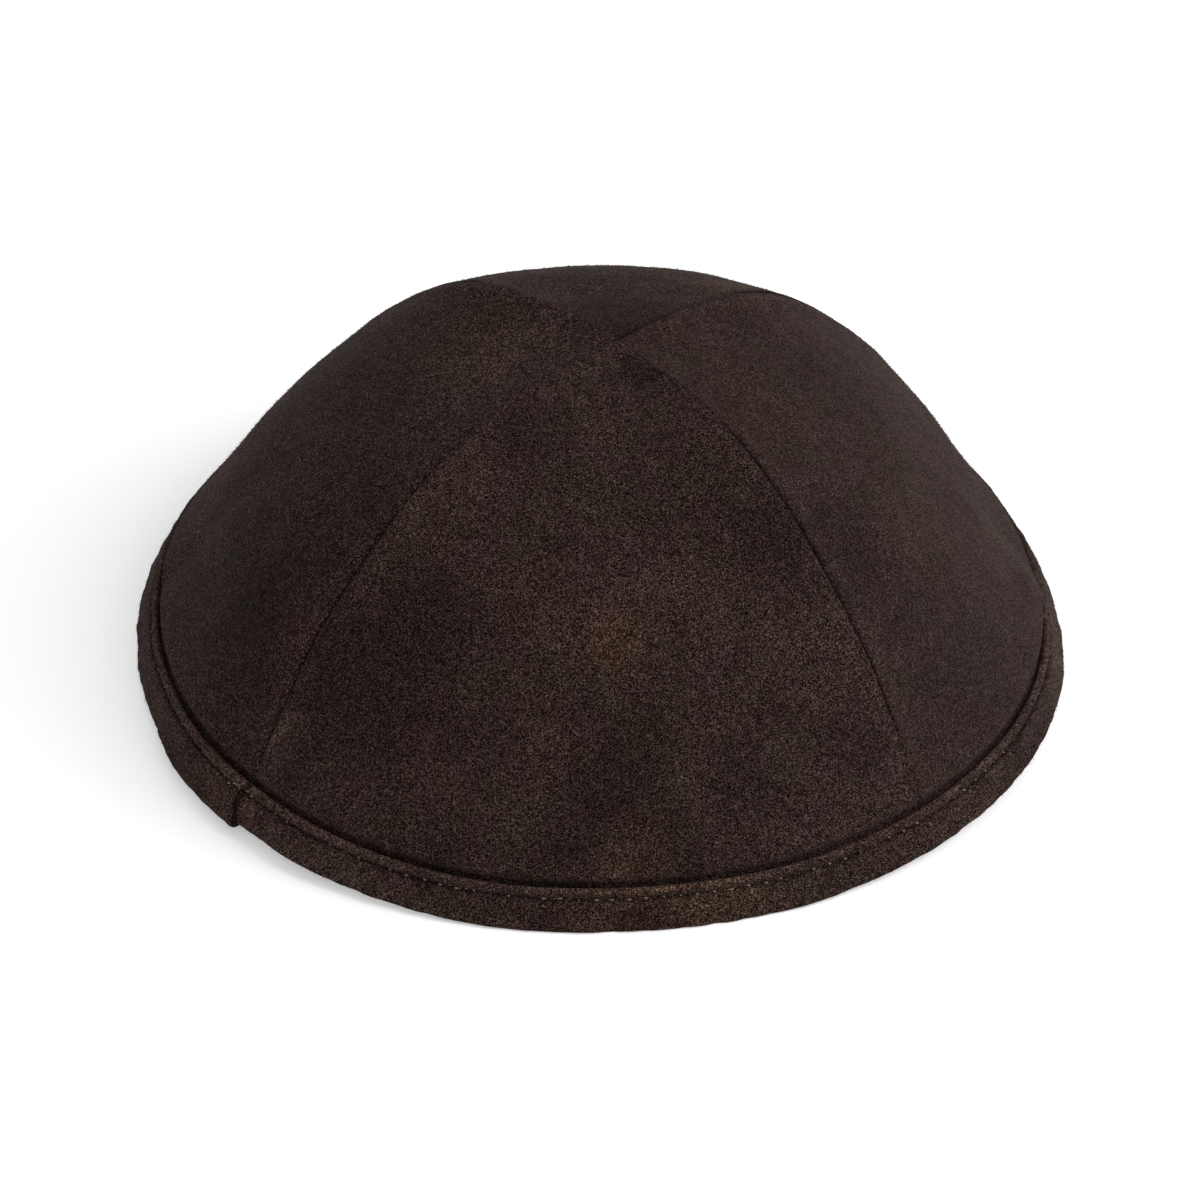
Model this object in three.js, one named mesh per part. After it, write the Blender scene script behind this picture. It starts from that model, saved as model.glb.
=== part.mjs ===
// A suede skullcap sewn from four panels, standing on its rim, with nothing inside it.
// The crown is four curved shells that meet at the apex, their side edges turned in at the seams.
// A binding strip is folded over the crown's lower edge, and its ends lap at the front left.
// Millimetres, +Z up, the front towards -Y, the origin on the surface below the middle of the cap.
// Azimuths are in degrees: 0 is the front, 90 the right (+X), and the share "out" runs from 0 at the
// apex to 1 at the top edge of the binding.

import * as THREE from 'three';
import { mergeVertices } from 'three/addons/utils/BufferGeometryUtils.js';

// Driving sizes
const RIM_RADIUS = 85.3;
const BAND_HEIGHT = 7.4;
const BAND_FLARE = 4.1;
const APEX_SHIFT = { x: 3.1, y: 1.5 };

// Thicknesses, and the room between neighbours
const WALL = 1.2;
const LEAF = 1.0;
const CLEARANCE = 0.3;

// Points closer than this are one point, and a row narrower than this has come to a point
const ONE_POINT = 1e-4;
const POINTED_WIDTH = 0.01;

// Heights of the crown over the surface it stands on, along a seam and along the middle of a panel
const MERIDIAN = [
  { out: 0.0, seam: 68.2, middle: 68.2 },
  { out: 0.12, seam: 68.1, middle: 67.2 },
  { out: 0.25, seam: 67.1, middle: 64.9 },
  { out: 0.4, seam: 63.9, middle: 60.8 },
  { out: 0.55, seam: 56.7, middle: 53.3 },
  { out: 0.7, seam: 45.4, middle: 41.7 },
  { out: 0.82, seam: 33.9, middle: 29.5 },
  { out: 0.91, seam: 21.5, middle: 18.0 },
  { out: 1.0, seam: 7.4, middle: 7.4 },
];

// The soft rim is neither quite round nor quite flat. Each wave swells to its size at its crest.
const OUTLINE_WAVES = [
  { count: 2, size: 0.9, crest: 88 },
  { count: 4, size: 1.1, crest: 53 },
];
const MEAN_LIFT = 1.3;
const LIFT_WAVES = [
  { count: 2, size: 0.85, crest: 6 },
  { count: 3, size: 2.6, crest: -55 },
];
// The rim eases off the surface over this height where it starts to lift
const LIFT_EASE = 1.0;

// The panels, from the seam on one side to the seam on the other. "sunk" is how far a panel lies
// below its neighbours round the apex, where their turned-in edges hold them up.
const PANELS = [
  { name: 'front_panel', from: -47.4, to: 43.6, sunk: 0.2, color: 0x30251f },
  { name: 'right_panel', from: 43.6, to: 131.5, sunk: 0.0, color: 0x352b28 },
  { name: 'back_panel', from: 131.5, to: 222.9, sunk: 0.9, color: 0x2d2421 },
  { name: 'left_panel', from: 222.9, to: 312.6, sunk: 0.0, color: 0x2c2220 },
];
const BAND_COLOR = 0x2e2420;
const SUEDE_ROUGHNESS = 0.95;
const SINK_ENDS = 0.45;

// Folds and dents in the crown: half of their length outwards and of their width round the cap, and
// their depth, which is negative where the cloth stands up
const DENTS = [
  { name: 'pucker below the apex', azimuth: 37, out: 0.11, long: 9, wide: 3.5, depth: 1.3 },
  { name: 'fold crease, left', azimuth: -92, out: 0.94, long: 12, wide: 4, depth: 1.2 },
  { name: 'fold crease, right', azimuth: 91, out: 0.95, long: 12, wide: 4, depth: -0.9 },
  { name: 'hollow behind the right crease', azimuth: 99, out: 0.92, long: 14, wide: 6, depth: 0.9 },
  { name: 'wrinkle over the band, right', azimuth: 21, out: 0.92, long: 3, wide: 12, depth: 0.5 },
  { name: 'wrinkle over the band, left', azimuth: -14, out: 0.91, long: 3, wide: 10, depth: 0.4 },
];

// Each panel's grid: the columns from seam to seam, and the rows from the apex down to the band
const COLUMNS = 16;
const ROWS = [0.035, 0.08, 0.13, 0.18, 0.25, 0.33, 0.41, 0.49, 0.57, 0.65, 0.72, 0.79, 0.85, 0.9, 0.945];
const SEAM_ROLL = 0.35;
const TURN_IN = { depth: 4.0, starts: 0.13, full: 0.24, thins: 0.86, ends: 0.945 };

// The crown dips under the top edge of the binding and runs down inside its fold
const DIP_STARTS = 0.975;
const TUCK_DEPTH = 5.1;

// The binding's cross-section when it is folded over the crown's edge. "down" runs from its top edge
// along its slope, "out" is the way it faces, and a point with "over" is that high over the bottom.
const STITCH_HOLLOW = 0.3;
const SLOT = LEAF + 2 * CLEARANCE + WALL;
const INSIDE = SLOT + LEAF;
const BAND_SECTION = [
  { down: 0.15, out: -0.35, leaf: 1 },
  { down: 0.7, out: 0.0, leaf: 1 },
  { down: 2.0, out: -STITCH_HOLLOW, leaf: 1 },
  { down: 4.2, out: 0.1, leaf: 1 },
  { down: 6.6, out: 0.05, leaf: 1 },
  { over: 0.7, out: 0.0, leaf: 1 },
  { over: 0.0, out: -0.6, leaf: 1 },
  { over: 0.0, out: -INSIDE + 0.7, leaf: -1 },
  { over: 0.7, out: -INSIDE, leaf: -1 },
  { down: 3.0, out: -INSIDE - 0.1, leaf: -1 },
  { down: 0.5, out: -INSIDE, leaf: -1 },
  { down: 0.3, out: -SLOT, leaf: -1 },
  { down: 3.0, out: -SLOT - 0.1, leaf: -1 },
  { over: LEAF, out: -SLOT, leaf: -1 },
  { over: LEAF, out: -LEAF, leaf: 1 },
  { down: 3.0, out: -LEAF + 0.1, leaf: 1 },
  { down: 0.15, out: -LEAF, leaf: 1 },
];

// The lap: the strip starts under it, goes once round the cap, and ends over its own start
const LAP = { ends: -49.2, hidden: -57.0, climbs: 5.0, clear: 0.6 };
const LAP_LIFT = LEAF + 1.5 * CLEARANCE;
const BAND_STEP = 4.0;

const radians = THREE.MathUtils.degToRad;
const { smoothstep } = THREE.MathUtils;

function waves(table, azimuth) {
  let sum = 0;
  for (const { count, size, crest } of table) {
    sum += size * Math.cos(count * radians(azimuth - crest));
  }
  return sum;
}

function rimRadius(azimuth) {
  return RIM_RADIUS + waves(OUTLINE_WAVES, azimuth);
}

function rimLift(azimuth) {
  const lift = Math.max(0, MEAN_LIFT + waves(LIFT_WAVES, azimuth));
  return (lift * lift) / (lift + LIFT_EASE);
}

// A smooth curve through one column of the meridian's table
function heightAlong(column, out) {
  const last = MERIDIAN.length - 1;
  const slope = (i) => {
    const before = MERIDIAN[Math.max(i - 1, 0)];
    const after = MERIDIAN[Math.min(i + 1, last)];
    return i === 0 ? 0 : (after[column] - before[column]) / (after.out - before.out);
  };
  let k = 0;
  while (k < last - 1 && out > MERIDIAN[k + 1].out) k += 1;
  const a = MERIDIAN[k];
  const b = MERIDIAN[k + 1];
  const step = b.out - a.out;
  const t = (out - a.out) / step;
  const rise = t * t * (3 - 2 * t);
  const bend = step * (slope(k) * t * (1 - t) ** 2 - slope(k + 1) * t * t * (1 - t));
  return a[column] + (b[column] - a[column]) * rise + bend;
}

function planPoint(azimuth, out) {
  const radius = rimRadius(azimuth) * out;
  const lean = Math.max(0, 1 - out) ** 1.5;
  const angle = radians(azimuth);
  return new THREE.Vector2(
    radius * Math.sin(angle) + APEX_SHIFT.x * lean,
    -radius * Math.cos(angle) + APEX_SHIFT.y * lean,
  );
}

function dentDepth(plan) {
  let depth = 0;
  for (const dent of DENTS) {
    const offset = plan.clone().sub(planPoint(dent.azimuth, dent.out));
    const angle = radians(dent.azimuth);
    const outwards = offset.x * Math.sin(angle) - offset.y * Math.cos(angle);
    const round = offset.x * Math.cos(angle) + offset.y * Math.sin(angle);
    depth += dent.depth * Math.exp(-((outwards / dent.long) ** 2) - (round / dent.wide) ** 2);
  }
  return depth;
}

// The binding's frame at an azimuth: its top edge, the way down its slope and the way it faces
function bandFrame(azimuth) {
  const angle = radians(azimuth);
  const radial = new THREE.Vector3(Math.sin(angle), -Math.cos(angle), 0);
  const slope = Math.atan2(BAND_HEIGHT, BAND_FLARE);
  const top = radial.clone().multiplyScalar(rimRadius(azimuth));
  top.z = BAND_HEIGHT + rimLift(azimuth);
  const down = radial.clone().multiplyScalar(Math.cos(slope));
  down.z = -Math.sin(slope);
  const outward = radial.clone().multiplyScalar(Math.sin(slope));
  outward.z = Math.cos(slope);
  return { top, down, outward, slope };
}

// The crown's outer surface. Past the binding's top edge, "out" runs on down inside its fold.
function crownPoint(panel, azimuth, out) {
  const band = bandFrame(azimuth);
  if (out > 1) {
    const tuck = band.top.clone().addScaledVector(band.outward, -LEAF - CLEARANCE);
    return tuck.addScaledVector(band.down, (out - 1) * RIM_RADIUS);
  }
  const middle = (panel.from + panel.to) / 2;
  const turn = radians((45 * (azimuth - middle)) / (panel.to - middle));
  const corner = (1 / Math.cos(turn) - 1) / (Math.SQRT2 - 1);
  const low = heightAlong('middle', out);
  const high = heightAlong('seam', out);
  const sunk = panel.sunk * (1 - smoothstep(out, SINK_ENDS / 2, SINK_ENDS));
  const plan = planPoint(azimuth, out);
  const height = low + (high - low) * corner + rimLift(azimuth) * out ** 3 - sunk - dentDepth(plan);
  const dip = (LEAF + CLEARANCE) * smoothstep(out, DIP_STARTS, 1);
  return new THREE.Vector3(plan.x, plan.y, height).addScaledVector(band.outward, -dip);
}

// The ways into the cap from a point on the crown: square to the surface, and square to it but
// kept in the upright plane through the apex, as the turned-in edges run
function inwardAt(panel, azimuth, out) {
  const turn = 0.4;
  const step = 0.002;
  const across = crownPoint(panel, azimuth + turn, out).sub(crownPoint(panel, azimuth - turn, out));
  const along = crownPoint(panel, azimuth, out + step).sub(crownPoint(panel, azimuth, out - step));
  const square = across.cross(along).normalize();
  if (square.z > 0) square.negate();
  const angle = radians(azimuth);
  const round = new THREE.Vector3(Math.cos(angle), Math.sin(angle), 0);
  const upright = square.clone().addScaledVector(round, -square.dot(round)).normalize();
  return { square, upright };
}

// One closed loop round a panel's wall: across its outside, down and up the edge turned in at one
// seam, back across its inside, and the other turned-in edge
function panelLoop(panel, out) {
  const radius = rimRadius(panel.to) * out;
  const half = radians(panel.to - panel.from) / 2;
  const beside = THREE.MathUtils.radToDeg(Math.asin(Math.min(CLEARANCE / 2 / radius, Math.sin(half))));
  const start = panel.from + beside;
  const span = panel.to - beside - start;
  const width = radians(span) * radius;
  const pointed = width < POINTED_WIDTH;
  const edge = Math.min(WALL / Math.max(width, WALL), 1 / COLUMNS);
  const depth = TURN_IN.depth * smoothstep(out, TURN_IN.starts, TURN_IN.full)
    * (1 - smoothstep(out, TURN_IN.thins, TURN_IN.ends));
  const outside = [];
  const inside = [];
  for (let column = 0; column <= COLUMNS; column += 1) {
    const atEdge = column === 0 || column === COLUMNS;
    const besideEdge = column === 1 || column === COLUMNS - 1;
    const even = edge + ((1 - 2 * edge) * (column - 1)) / (COLUMNS - 2);
    const azimuth = start + span * (atEdge ? column / COLUMNS : even);
    const point = crownPoint(panel, azimuth, out);
    const { square, upright } = inwardAt(panel, azimuth, out);
    const inward = atEdge || besideEdge || pointed ? upright : square;
    const shallow = point.clone().addScaledVector(inward, WALL);
    const deep = shallow.clone().addScaledVector(inward, depth);
    outside.push(atEdge && !pointed ? point.clone().addScaledVector(inward, SEAM_ROLL) : point);
    if (atEdge) inside.push([deep]);
    else if (besideEdge) inside.push([deep, shallow]);
    else inside.push([shallow]);
  }
  inside[1].reverse();
  return [...outside, ...inside.reverse().flat()];
}

// Joins closed loops of equal length, one after the other, into one skin. A face that has shrunk to
// nothing, where points of a loop meet, is left out.
function skin(loops, caps) {
  const size = loops[0].length;
  const faces = [...caps];
  for (let row = 0; row < loops.length - 1; row += 1) {
    for (let i = 0; i < size; i += 1) {
      const here = row * size + i;
      const next = row * size + ((i + 1) % size);
      faces.push([here, next, next + size], [here, next + size, here + size]);
    }
  }
  const positions = loops.flat().flatMap((point) => point.toArray());
  const loose = new THREE.BufferGeometry();
  loose.setAttribute('position', new THREE.Float32BufferAttribute(positions, 3));
  loose.setIndex(faces.flat());
  const merged = mergeVertices(loose, ONE_POINT);
  const corners = Array.from(merged.getIndex().array);
  const kept = [];
  for (let i = 0; i < corners.length; i += 3) {
    const face = corners.slice(i, i + 3);
    if (new Set(face).size === 3) kept.push(...face);
  }
  merged.setIndex(kept);
  merged.computeVertexNormals();
  return merged;
}

function panelGeometry(panel) {
  const half = radians(panel.to - panel.from) / 2;
  const tip = CLEARANCE / 2 / Math.sin(half) / rimRadius(panel.to);
  const tuck = TUCK_DEPTH / RIM_RADIUS;
  const rows = [1 + tuck, 1 + tuck / 2, 1, DIP_STARTS, ...ROWS.toReversed(), tip];
  const loops = rows.map((out) => panelLoop(panel, out));
  const size = loops[0].length;
  const insideOf = (column) => {
    if (column === 0) return size - 1;
    return column === COLUMNS ? COLUMNS + 1 : size - 2 - column;
  };
  const hem = [];
  for (let column = 0; column < COLUMNS; column += 1) {
    hem.push([column, insideOf(column), insideOf(column + 1)]);
    hem.push([column, insideOf(column + 1), column + 1]);
  }
  return skin(loops, hem);
}

function bandLoop(azimuth, spread) {
  const band = bandFrame(azimuth);
  return BAND_SECTION.map((point) => {
    const out = point.out + point.leaf * spread;
    const over = (point.over ?? 0) - spread;
    const toBottom = (BAND_HEIGHT - over + out * Math.cos(band.slope)) / Math.sin(band.slope);
    const down = point.down ?? toBottom;
    return band.top.clone().addScaledVector(band.down, down).addScaledVector(band.outward, out);
  });
}

function bandGeometry() {
  const last = LAP.ends + 360;
  const climbed = LAP.hidden + 360 - LAP.clear;
  const stations = [LAP.hidden, climbed - LAP.climbs, climbed, last];
  const first = Math.ceil(LAP.hidden / BAND_STEP) * BAND_STEP;
  for (let azimuth = first; azimuth < last; azimuth += BAND_STEP) stations.push(azimuth);
  stations.sort((a, b) => a - b);
  const loops = stations.map((azimuth) => {
    const spread = LAP_LIFT * smoothstep(azimuth, climbed - LAP.climbs, climbed);
    return bandLoop(azimuth, spread);
  });
  const contour = bandLoop(0, 0).map((point) => new THREE.Vector2(-point.y, point.z));
  const section = THREE.ShapeUtils.triangulateShape(contour, []);
  const end = (loops.length - 1) * contour.length;
  const caps = section.flatMap(([a, b, c]) => [[a, b, c], [end + a, end + c, end + b]]);
  return skin(loops, caps);
}

function piece(name, geometry, color) {
  const material = new THREE.MeshStandardMaterial({ color, roughness: SUEDE_ROUGHNESS, metalness: 0 });
  const mesh = new THREE.Mesh(geometry, material);
  mesh.name = name;
  return mesh;
}

const cap = new THREE.Group();
for (const panel of PANELS) {
  cap.add(piece(panel.name, panelGeometry(panel), panel.color));
}
cap.add(piece('rim_band', bandGeometry(), BAND_COLOR));

export default cap;
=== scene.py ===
import math

import bpy
import numpy as np
from mathutils import Matrix, Vector, noise


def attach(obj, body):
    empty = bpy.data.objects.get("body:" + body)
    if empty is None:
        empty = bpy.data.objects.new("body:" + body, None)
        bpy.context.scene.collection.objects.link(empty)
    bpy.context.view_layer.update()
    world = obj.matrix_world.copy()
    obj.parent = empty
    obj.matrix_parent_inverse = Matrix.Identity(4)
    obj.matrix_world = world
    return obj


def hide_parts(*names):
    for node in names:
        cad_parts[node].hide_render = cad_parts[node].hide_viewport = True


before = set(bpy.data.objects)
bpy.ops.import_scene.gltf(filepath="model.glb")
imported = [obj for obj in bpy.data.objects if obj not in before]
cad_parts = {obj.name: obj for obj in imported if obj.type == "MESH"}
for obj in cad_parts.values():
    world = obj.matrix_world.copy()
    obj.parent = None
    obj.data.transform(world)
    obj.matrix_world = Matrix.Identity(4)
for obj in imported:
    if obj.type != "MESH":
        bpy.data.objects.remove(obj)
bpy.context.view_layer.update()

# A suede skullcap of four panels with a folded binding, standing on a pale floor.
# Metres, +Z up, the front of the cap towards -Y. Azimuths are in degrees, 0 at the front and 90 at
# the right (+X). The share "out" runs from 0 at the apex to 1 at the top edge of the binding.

MM = 0.001

# Driving sizes, the same as the solids have
RIM_RADIUS = 85.3 * MM
BAND_HEIGHT = 7.4 * MM
BAND_FLARE = 4.1 * MM
BAND_SLOPE = math.atan2(BAND_HEIGHT, BAND_FLARE)
APEX_SHIFT = {"x": 3.1 * MM, "y": 1.5 * MM}
WALL = 1.2 * MM
LEAF = 1.0 * MM
CLEARANCE = 0.3 * MM
SLOT = LEAF + 2 * CLEARANCE + WALL
INSIDE = SLOT + LEAF

# Heights of the crown over the floor, along a seam and along the middle of a panel
MERIDIAN = (
    {"out": 0.00, "seam": 68.2 * MM, "middle": 68.2 * MM},
    {"out": 0.12, "seam": 68.1 * MM, "middle": 67.2 * MM},
    {"out": 0.25, "seam": 67.1 * MM, "middle": 64.9 * MM},
    {"out": 0.40, "seam": 63.9 * MM, "middle": 60.8 * MM},
    {"out": 0.55, "seam": 56.7 * MM, "middle": 53.3 * MM},
    {"out": 0.70, "seam": 45.4 * MM, "middle": 41.7 * MM},
    {"out": 0.82, "seam": 33.9 * MM, "middle": 29.5 * MM},
    {"out": 0.91, "seam": 21.5 * MM, "middle": 18.0 * MM},
    {"out": 1.00, "seam": 7.4 * MM, "middle": 7.4 * MM},
)

# The soft rim is neither quite round nor quite flat. Each wave swells to its size at its crest.
OUTLINE_WAVES = (
    {"count": 2, "size": 0.9 * MM, "crest": 88},
    {"count": 4, "size": 1.1 * MM, "crest": 53},
)
MEAN_LIFT = 1.3 * MM
LIFT_WAVES = (
    {"count": 2, "size": 0.85 * MM, "crest": 6},
    {"count": 3, "size": 2.6 * MM, "crest": -55},
)
LIFT_EASE = 1.0 * MM

# The four seams. The groove has the share "least" of its depth up to "faint", and its whole depth
# from "clear" outwards.
SEAMS = {
    "front left": {"azimuth": -47.4, "least": 0.0, "faint": 0.26, "clear": 0.55, "groove": 0.55 * MM},
    "front right": {"azimuth": 43.6, "least": 0.0, "faint": 0.26, "clear": 0.44, "groove": 0.6 * MM},
    "back right": {"azimuth": 131.5, "least": 0.8, "faint": 0.0, "clear": 0.05, "groove": 0.6 * MM},
    "back left": {"azimuth": 222.9, "least": 0.25, "faint": 0.05, "clear": 0.6, "groove": 0.45 * MM},
}

# The panels. "sunk" is how far one lies below its neighbours round the apex, and the swells are how
# high its cloth stands up beside its first and its last seam. "shaded" is how much painted shade lies in
# the step beside its first seam. "light", "nap" and "tint" say how light its suede is, how strong its
# grain and of what hue, beside the other panels.
PANELS = (
    {"node": "front_panel", "first": "front left", "last": "front right", "sunk": 0.05 * MM,
     "first_swell": 0.14 * MM, "last_swell": 0.14 * MM, "shaded": 0.0, "light": 1.1, "nap": 1.0,
     "tint": (1.0, 1.0, 1.0)},
    {"node": "right_panel", "first": "front right", "last": "back right", "sunk": 0.0,
     "first_swell": 0.12 * MM, "last_swell": 0.2 * MM, "shaded": 0.0, "light": 0.935, "nap": 0.82,
     "tint": (0.98, 0.99, 1.04)},
    {"node": "back_panel", "first": "back right", "last": "back left", "sunk": 0.9 * MM,
     "first_swell": 0.05 * MM, "last_swell": 0.05 * MM, "shaded": 1.0, "light": 0.9, "nap": 1.1,
     "tint": (1.03, 1.0, 0.95)},
    {"node": "left_panel", "first": "back left", "last": "front left", "sunk": 0.0,
     "first_swell": 0.22 * MM, "last_swell": 0.12 * MM, "shaded": 0.0, "light": 0.95, "nap": 1.3,
     "tint": (1.05, 0.96, 0.96)},
)
# Where a sunk panel has come up level, where the painted shade in its step ends, and how far that painted
# shade reaches from the seam
SINK_ENDS = 0.45
SHADE_ENDS = 1.6 * SINK_ENDS
STEP_SHADOW = 1.9 * MM

# Grooves lose this share of their depth near the binding. Beside them the cloth swells up from near
# the apex on, and it lies even in a groove and along the binding.
GROOVE_LOSES = {"share": 0.6, "from": 0.88, "to": 0.96}
SWELL_GROWS = {"from": 0.05, "to": 0.2}
EVEN = {"groove": 0.3 * MM, "from": 0.95}

# Folds and dents in the crown: half of their length outwards and of their width round the cap, and
# their depth, which is negative where the cloth stands up
DENTS = (
    {"name": "pucker by the apex", "azimuth": 22, "out": 0.14, "long": 8, "wide": 4.2, "depth": 0.75},
    {"name": "fold crease, left", "azimuth": -92, "out": 0.94, "long": 12, "wide": 4, "depth": 1.2},
    {"name": "fold crease, right", "azimuth": 91, "out": 0.95, "long": 12, "wide": 4, "depth": -0.9},
    {"name": "bulge by the groove", "azimuth": 82, "out": 0.97, "long": 3, "wide": 15, "depth": -1.0},
    {"name": "hollow, right", "azimuth": 99, "out": 0.92, "long": 14, "wide": 6, "depth": 0.9},
    {"name": "wrinkle, right", "azimuth": 21, "out": 0.92, "long": 3, "wide": 12, "depth": 0.5},
    {"name": "wrinkle, left", "azimuth": -14, "out": 0.91, "long": 3, "wide": 10, "depth": 0.4},
)

# A panel's turned-in edges, and where the crown dips under the binding
EDGE_GAP = 0.03 * MM
ROLL_WIDTH = 1.0 * MM
SWELL_PLACE = 2.2 * MM
SWELL_WIDTH = 1.4 * MM
TURN_IN = {"depth": 4.0 * MM, "starts": 0.13, "full": 0.24, "thins": 0.86, "ends": 0.945}
DIP_STARTS = 0.985
TUCK_DEPTH = 5.1 * MM
SHADOW_GROOVE = {"out": 0.997, "width": 0.6 * MM, "depth": 0.25 * MM}

# The most that a panel's edge may turn away from its seam near the apex, as a sine, and the smallest
# share out that is told from none
EDGE_SINE_LIMIT = 0.7
TINY = 1e-9

# Where the crown lies close against the binding, so that the groove between them is narrow and faint
CLOSE_SPOTS = ({"azimuth": 100, "wide": 25}, {"azimuth": -112, "wide": 20})
CLOSE_DIP_STARTS = 0.993

# The fineness of a panel's grid
ROLL_STEPS = 6
FACE_STEPS = 118
DIP_STEPS = 5
TUCK_STEPS = 3
FIN_SHARES = (1.0, 0.66, 0.33)

# Where the suede is pressed in or stands up this far, its colour is fully darker or lighter. The
# darkening is partly pressed nap and partly painted shade, and the lightening is a painted highlight.
PRESSED_DEPTH = 0.45 * MM
RAISED_HEIGHT = 0.3 * MM
PRESSED_NAP_AND_PAINTED_SHADE = 0.35

# Unevenness of soft suede: the size of its swellings and how high they are
CROWN_UNEVENNESS = ({"size": 16 * MM, "height": 0.42 * MM}, {"size": 5 * MM, "height": 0.12 * MM},
                    {"size": 1.9 * MM, "height": 0.055 * MM})
BAND_UNEVENNESS = ({"size": 11 * MM, "height": 0.3 * MM}, {"size": 3.6 * MM, "height": 0.2 * MM},
                   {"size": 1.6 * MM, "height": 0.1 * MM})

# The binding: its stitches, the fold round its lower edge and the lap of its ends
STITCHES = 170
STITCH_PITCH = 360 / STITCHES
STATIONS_A_STITCH = 6
STITCH_DOWN = 2.0 * MM
STITCH_HOLLOW = 0.42 * MM
STITCH_LINE = 0.35 * MM
INNER_HOLLOW = 0.25 * MM
HOLE = {"depth": 0.42 * MM, "width": 0.45 * MM}
# The dark dash along each stitch, painted shade in its furrow and partly pressed nap: where it lies in the
# stitch, how wide it is and how dark it stays between dashes
DASH = {"at": 0.36, "width": 0.85 * MM, "least": 0.5}
# The painted highlight along the lip's top edge: how far down it lies and how wide it is
LIP_HIGHLIGHT = {"down": 0.35 * MM, "width": 0.45 * MM}
FOLD_ROUND = 0.8 * MM
LAP = {"ends": -47.5, "hidden": -57.0, "climbs": 14.0, "clear": 0.6, "bends": 4.0}
LAP_LIFT = 0.75 * MM
LAP_PRESSED = 0.25 * MM
LAP_BOW = 0.9
LAP_ROUND = 0.9 * MM
LAP_ROUNDED_BY = 0.6 * LEAF
LAP_EDGE_DARK = {"from": 1.2, "full": 0.3}
LAP_CRACK = {"width": 0.55 * MM, "depth": 0.3 * MM}
END_STATIONS = 6
END_CLEAR = 1.3
END_WIDTH = math.degrees(LAP_ROUND / RIM_RADIUS)
UNDER_SWELL = 0.8

# The binding's cross-section: where its rows lie down each leaf, in millimetres, the turns of its
# fold and of its top edge in degrees, and the relief of the outer leaf
INNER_ROWS = (0.7, 1.2, 1.65, 2.0, 2.35, 2.8, 3.6, 4.6, 5.4)
OUTER_ROWS = (6.0, 5.2, 4.4, 3.7, 3.1, 2.7, 2.4, 2.2, 2.0, 1.8, 1.6, 1.35, 1.05, 0.75)
FOLD_TURNS = (0, 22, 45, 68, 90)
LIP_TURNS = (10, 35, 60, 85, 115)
LIP = {"reach": 0.55 * MM, "out": 0.12 * MM, "back": 0.75 * MM}
INNER_EDGE = (
    {"face": 0.3 * MM, "face_out": -SLOT - 0.5 * LEAF, "back": 0.32 * MM, "back_out": -SLOT - 0.35 * LEAF},
    {"face": 0.36 * MM, "face_out": 0.12 * MM - INSIDE, "back": 0.4 * MM, "back_out": -SLOT},
)
LEAF_RELIEF = (
    {"name": "lip", "down": 0.95 * MM, "width": 0.45 * MM, "out": 0.34 * MM},
    {"name": "hollow", "down": STITCH_DOWN, "width": 0.32 * MM, "out": -STITCH_HOLLOW},
    {"name": "bulge", "down": 3.9 * MM, "width": 1.2 * MM, "out": 0.14 * MM},
)

# A stitch of the two-ply thread. It lies deep in its furrow and comes up near its far end.
THREAD = {"ply": 0.13 * MM, "apart": 0.11 * MM, "deep": 0.3 * MM, "rise": 0.6 * MM,
          "crown": 0.22, "crown_width": 0.13, "turns": 2.5, "sides": 4, "steps": 7}
BACK_TACKS = (
    {"azimuth": -49.4, "down": 1.55, "turn": 8, "length": 2.2},
    {"azimuth": -50.2, "down": 2.4, "turn": -9, "length": 2.2},
    {"azimuth": -51.3, "down": 1.4, "turn": 12, "length": 1.8},
    {"azimuth": -52.6, "down": 2.7, "turn": -20, "length": 1.7},
    {"azimuth": -48.7, "down": 0.9, "turn": 62, "length": 1.9},
    {"azimuth": -49.2, "down": 1.1, "turn": 80, "length": 1.7},
    {"azimuth": -53.6, "down": 1.3, "turn": 35, "length": 1.5},
)
BACK_TACKS_PROUD = 0.3

# The topstitching's own sizes in millimetres and degrees, and how much each varies by chance. Past
# "front" degrees on either side its stitches are pulled in deeper.
TOPSTITCH = {"down": 2.0, "turn": 4, "length": 2.7, "deeper": 0.36, "front": 35, "proud": 0.08}
CHANCE = {"azimuth": 0.08, "down": 0.07, "turn": 5, "length": 0.15, "pulled_in": 0.3}

# The nap: how many fibres each piece carries, how long they are and how they stand. Pressed suede
# has lost most of them.
NAP = {"panel": 24000, "band": 15000, "shortest": 0.3 * MM, "longest": 0.9 * MM,
       "thick": 0.045 * MM, "lean": 0.8, "stray": 0.8, "rise": 0.5, "outwards": 6.0}
PRESSED_BARE = 0.9
NAP_TONES = (
    {"name": "nap_dark", "share": 0.3, "colour": (0.012, 0.008, 0.0075)},
    {"name": "nap_brown", "share": 0.4, "colour": (0.07, 0.05, 0.04)},
    {"name": "nap_light", "share": 0.3, "colour": (0.13, 0.1, 0.08)},
)
FLOOR_CLEARANCE = 0.03 * MM

# The photograph's view: far off through a long lens, a little turned about its own axis
VIEW = {"elevation": 37.87, "roll": 0.44, "distance": 1.0, "x": 0.1 * MM, "z": 8.1 * MM}
SENSOR = 36
FRAME_PIXELS = 1200
FOCAL_PIXELS = 5214


def eased(value, low, high):
    share = np.clip((value - low) / (high - low), 0, 1)
    return share * share * (3 - 2 * share)


def hill(away, width):
    """1 where "away" is nothing, and falling off smoothly on both sides."""
    return np.exp(-((away / width) ** 2))


def waves(table, azimuth):
    total = np.zeros_like(azimuth)
    for wave in table:
        total += wave["size"] * np.cos(np.radians(wave["count"] * (azimuth - wave["crest"])))
    return total


def rim_radius(azimuth):
    return RIM_RADIUS + waves(OUTLINE_WAVES, azimuth)


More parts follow.
